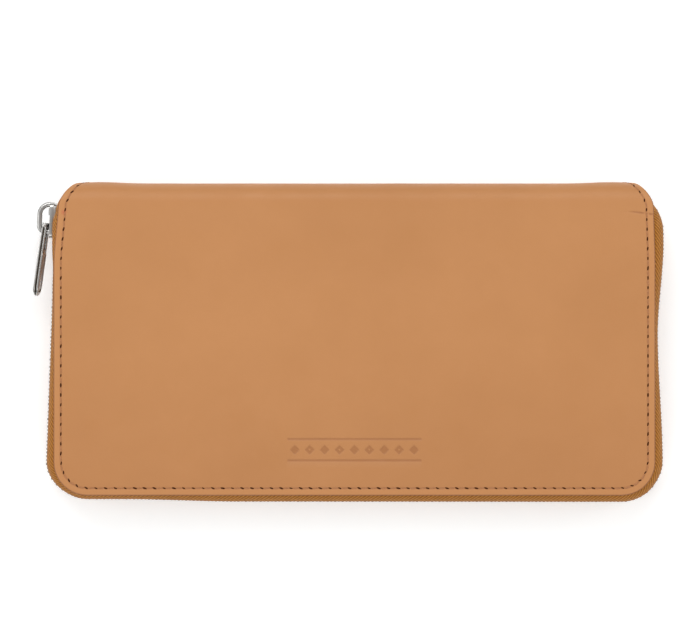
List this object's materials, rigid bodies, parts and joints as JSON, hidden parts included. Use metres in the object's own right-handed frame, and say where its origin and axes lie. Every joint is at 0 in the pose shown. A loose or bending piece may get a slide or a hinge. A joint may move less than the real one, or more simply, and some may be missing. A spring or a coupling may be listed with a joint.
{
  "type": "zip around wallet",
  "caption": "Long flat leather wallet closed round three sides by a metal zip, with card pockets, note pockets and a zipped coin pocket inside.",
  "frame": {"origin": "middle of the back cover's outer face, with the wallet lying on it", "axes": "+X along the width, +Y towards the folded spine, +Z out of the front cover"},
  "size_m": [0.2076, 0.1052, 0.025],
  "materials": {
    "cover_leather": "smooth tan leather, semi-matt",
    "pocket_leather": "thin smooth tan leather",
    "lining_fabric": "brown woven lining",
    "stiffener_board": "grey board",
    "zip_tape": "ochre twill tape",
    "zip_metal": "nickel silver, satin",
    "slider_metal": "nickel plated, polished"
  },
  "bodies": {
    "back": {"cover_back": "cover_leather", "cover_fold_back": "cover_leather", "board_back": "stiffener_board", "lining_back": "lining_fabric", "card_pocket_back_1": "pocket_leather", "card_pocket_back_2": "pocket_leather", "card_pocket_back_3": "pocket_leather", "card_pocket_back_4": "pocket_leather", "zip_tape_back": "zip_tape", "zip_teeth_back": "zip_metal", "zip_stop_back": "zip_metal", "gusset_left_back": "lining_fabric", "gusset_right_back": "lining_fabric"},
    "centre": {"cover_spine": "cover_leather", "lining_spine": "lining_fabric", "coin_wall_back": "lining_fabric", "coin_wall_front": "lining_fabric", "coin_side_left": "lining_fabric", "coin_side_right": "lining_fabric", "coin_base": "lining_fabric", "coin_tape_back": "zip_tape", "coin_tape_front": "zip_tape", "coin_teeth_back": "zip_metal", "coin_teeth_front": "zip_metal", "coin_stop_closed": "zip_metal", "coin_stop_open": "zip_metal", "zip_bottom_stop": "zip_metal"},
    "front": {"cover_front": "cover_leather", "cover_fold_front": "cover_leather", "board_front": "stiffener_board", "lining_front": "lining_fabric", "card_pocket_front_1": "pocket_leather", "card_pocket_front_2": "pocket_leather", "card_pocket_front_3": "pocket_leather", "card_pocket_front_4": "pocket_leather", "zip_tape_front": "zip_tape", "zip_teeth_front": "zip_metal", "zip_stop_front": "zip_metal", "gusset_left_front": "lining_fabric", "gusset_right_front": "lining_fabric"},
    "slider": {"slider_body": "slider_metal", "slider_bail": "slider_metal", "lock_pawl": "slider_metal"},
    "pull": {"pull_tab": "slider_metal"},
    "coin_slider": {"coin_slider_body": "slider_metal", "coin_bail": "slider_metal"},
    "coin_pull": {"coin_pull_tab": "slider_metal"}
  },
  "joints": [
    {"name": "wallet_open", "type": "hinge", "parent": "back", "child": "centre", "pos_m": [0, 0.05028, 0.00222], "axis": [-1, 0, 0], "range_deg": [0, 25], "deforming": ["cover_fold_back", "gusset_left_back", "gusset_right_back"]},
    {"name": "cover_fold", "type": "hinge", "parent": "centre", "child": "front", "pos_m": [0, 0.05028, 0.02278], "axis": [-1, 0, 0], "range_deg": [0, 25], "deforming": ["cover_fold_front", "gusset_left_front", "gusset_right_front"]},
    {"name": "slider_travel", "type": "slide", "parent": "back", "child": "slider", "axis": [-0.0368, -0.9993, 0], "range_m": [0, 0.072], "deforming": ["zip_teeth_back", "zip_teeth_front"]},
    {"name": "pull_swing", "type": "hinge", "parent": "slider", "child": "pull", "pos_m": [-0.10145, 0.03865, 0.0125], "axis": [0, 0, -1], "range_deg": [-5, 150]},
    {"name": "coin_slider_travel", "type": "slide", "parent": "centre", "child": "coin_slider", "axis": [1, 0, 0], "range_m": [0, 0.144], "deforming": ["coin_teeth_back", "coin_teeth_front"]},
    {"name": "coin_pull_swing", "type": "hinge", "parent": "coin_slider", "child": "coin_pull", "pos_m": [-0.072, -0.03088, 0.0125], "axis": [0, 0, -1], "range_deg": [-5, 150]}
  ],
  "couplings": [
    {"joint": "cover_fold", "follows": "wallet_open", "ratio": 1}
  ]
}
